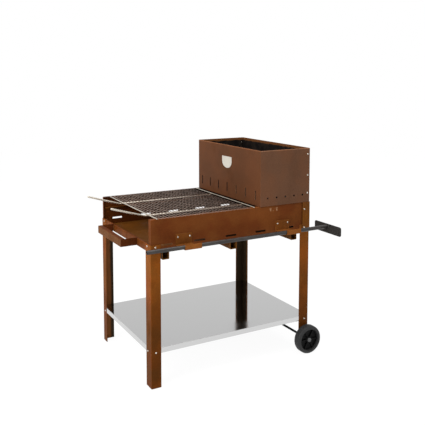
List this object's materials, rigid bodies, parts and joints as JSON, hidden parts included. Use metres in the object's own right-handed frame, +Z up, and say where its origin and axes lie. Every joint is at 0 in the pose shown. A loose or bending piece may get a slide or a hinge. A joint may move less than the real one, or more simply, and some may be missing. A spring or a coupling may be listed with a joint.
{
  "type": "wood-fired barbecue",
  "caption": "Sheet-steel barbecue on four angle legs: open firebox, lift-off mesh grill with handles, tall wood brazier, lower shelf, wheels at one end, carry handle and hanging ember rake.",
  "frame": {"origin": "on the ground under the middle of the whole outline", "axes": "+X along the long side, from the carry handle to the wheels; +Y from the rake's side to the back; +Z up"},
  "size_m": [1.112, 0.9028, 1.083],
  "materials": {
    "rust_paint": "satin rust-effect paint",
    "brazier_paint": "satin rust-effect paint, browner",
    "sooted_steel": "matt black heat-proof paint",
    "polished_stainless": "mirror polished",
    "stainless_wire": "bright drawn wire",
    "dark_steel": "dark satin paint",
    "wheel_plastic": "moulded, matt",
    "cap_plastic": "moulded, satin",
    "zinc_screw": "bright zinc"
  },
  "bodies": {
    "frame": {"firebox_floor": "rust_paint", "firebox_front_wall": "rust_paint", "firebox_back_wall": "rust_paint", "firebox_end_panel": "rust_paint", "firebox_sill": "rust_paint", "floor_channel_left": "rust_paint", "floor_channel_middle": "rust_paint", "floor_channel_right": "rust_paint", "grill_ledge_front": "rust_paint", "grill_ledge_back": "rust_paint", "leg_front_left": "rust_paint", "leg_back_left": "rust_paint", "leg_front_right": "rust_paint", "leg_back_right": "rust_paint", "shelf": "polished_stainless", "axle": "sooted_steel", "hub_cap_front": "cap_plastic", "hub_cap_back": "cap_plastic", "rake_bracket_left": "rust_paint", "rake_bracket_right": "rust_paint", "carry_handle": "rust_paint", "leg_screw_front_face": "zinc_screw", "leg_screw_front_end": "zinc_screw", "leg_screw_back_face": "zinc_screw", "leg_screw_back_end": "zinc_screw", "shelf_screw_front_left": "zinc_screw", "shelf_screw_front_right": "zinc_screw", "shelf_screw_back_left": "zinc_screw", "shelf_screw_back_right": "zinc_screw", "shelf_screw_front_left_end": "zinc_screw", "shelf_screw_front_right_end": "zinc_screw", "shelf_screw_back_left_end": "zinc_screw", "shelf_screw_back_right_end": "zinc_screw", "end_panel_screw_front_upper": "zinc_screw", "end_panel_screw_front_lower": "zinc_screw", "end_panel_screw_back_upper": "zinc_screw", "end_panel_screw_back_lower": "zinc_screw", "bracket_screw_left_1": "zinc_screw", "bracket_screw_left_2": "zinc_screw", "bracket_screw_right_1": "zinc_screw", "bracket_screw_right_2": "zinc_screw"},
    "wheel_front": {"wheel_front": "wheel_plastic"},
    "wheel_back": {"wheel_back": "wheel_plastic"},
    "grill": {"grill_end_bar_left": "stainless_wire", "grill_end_bar_right": "stainless_wire", "grill_rod_front": "stainless_wire", "grill_rod_back": "stainless_wire", "grill_mesh": "stainless_wire"},
    "brazier": {"brazier_shell": "brazier_paint", "brazier_end_panel": "brazier_paint", "brazier_badge": "brazier_paint", "brazier_screw_front_low": "zinc_screw", "brazier_screw_front_middle": "zinc_screw", "brazier_screw_front_high": "zinc_screw", "brazier_screw_back_low": "zinc_screw", "brazier_screw_back_middle": "zinc_screw", "brazier_screw_back_high": "zinc_screw"},
    "brazier_grate": {"brazier_grate": "sooted_steel"},
    "rake": {"rake_tube": "dark_steel", "rake_blade": "dark_steel"}
  },
  "joints": [
    {"name": "wheel_front_spin", "type": "hinge", "parent": "frame", "child": "wheel_front", "pos_m": [0.4785, -0.289, 0.0735], "axis": [0, 1, 0], "continuous": true},
    {"name": "wheel_back_spin", "type": "hinge", "parent": "frame", "child": "wheel_back", "pos_m": [0.4785, 0.4276, 0.0735], "axis": [0, 1, 0], "continuous": true},
    {"name": "grill_lift", "type": "slide", "parent": "frame", "child": "grill", "axis": [0, 0, 1], "range_m": [0, 0.15]},
    {"name": "brazier_lift", "type": "slide", "parent": "frame", "child": "brazier", "axis": [0, 0, 1], "range_m": [0, 0.15]},
    {"name": "brazier_grate_lift", "type": "slide", "parent": "brazier", "child": "brazier_grate", "axis": [0, 0, 1], "range_m": [0, 0.15]},
    {"name": "rake_lift", "type": "slide", "parent": "frame", "child": "rake", "axis": [0, 0, 1], "range_m": [0, 0.08]}
  ]
}
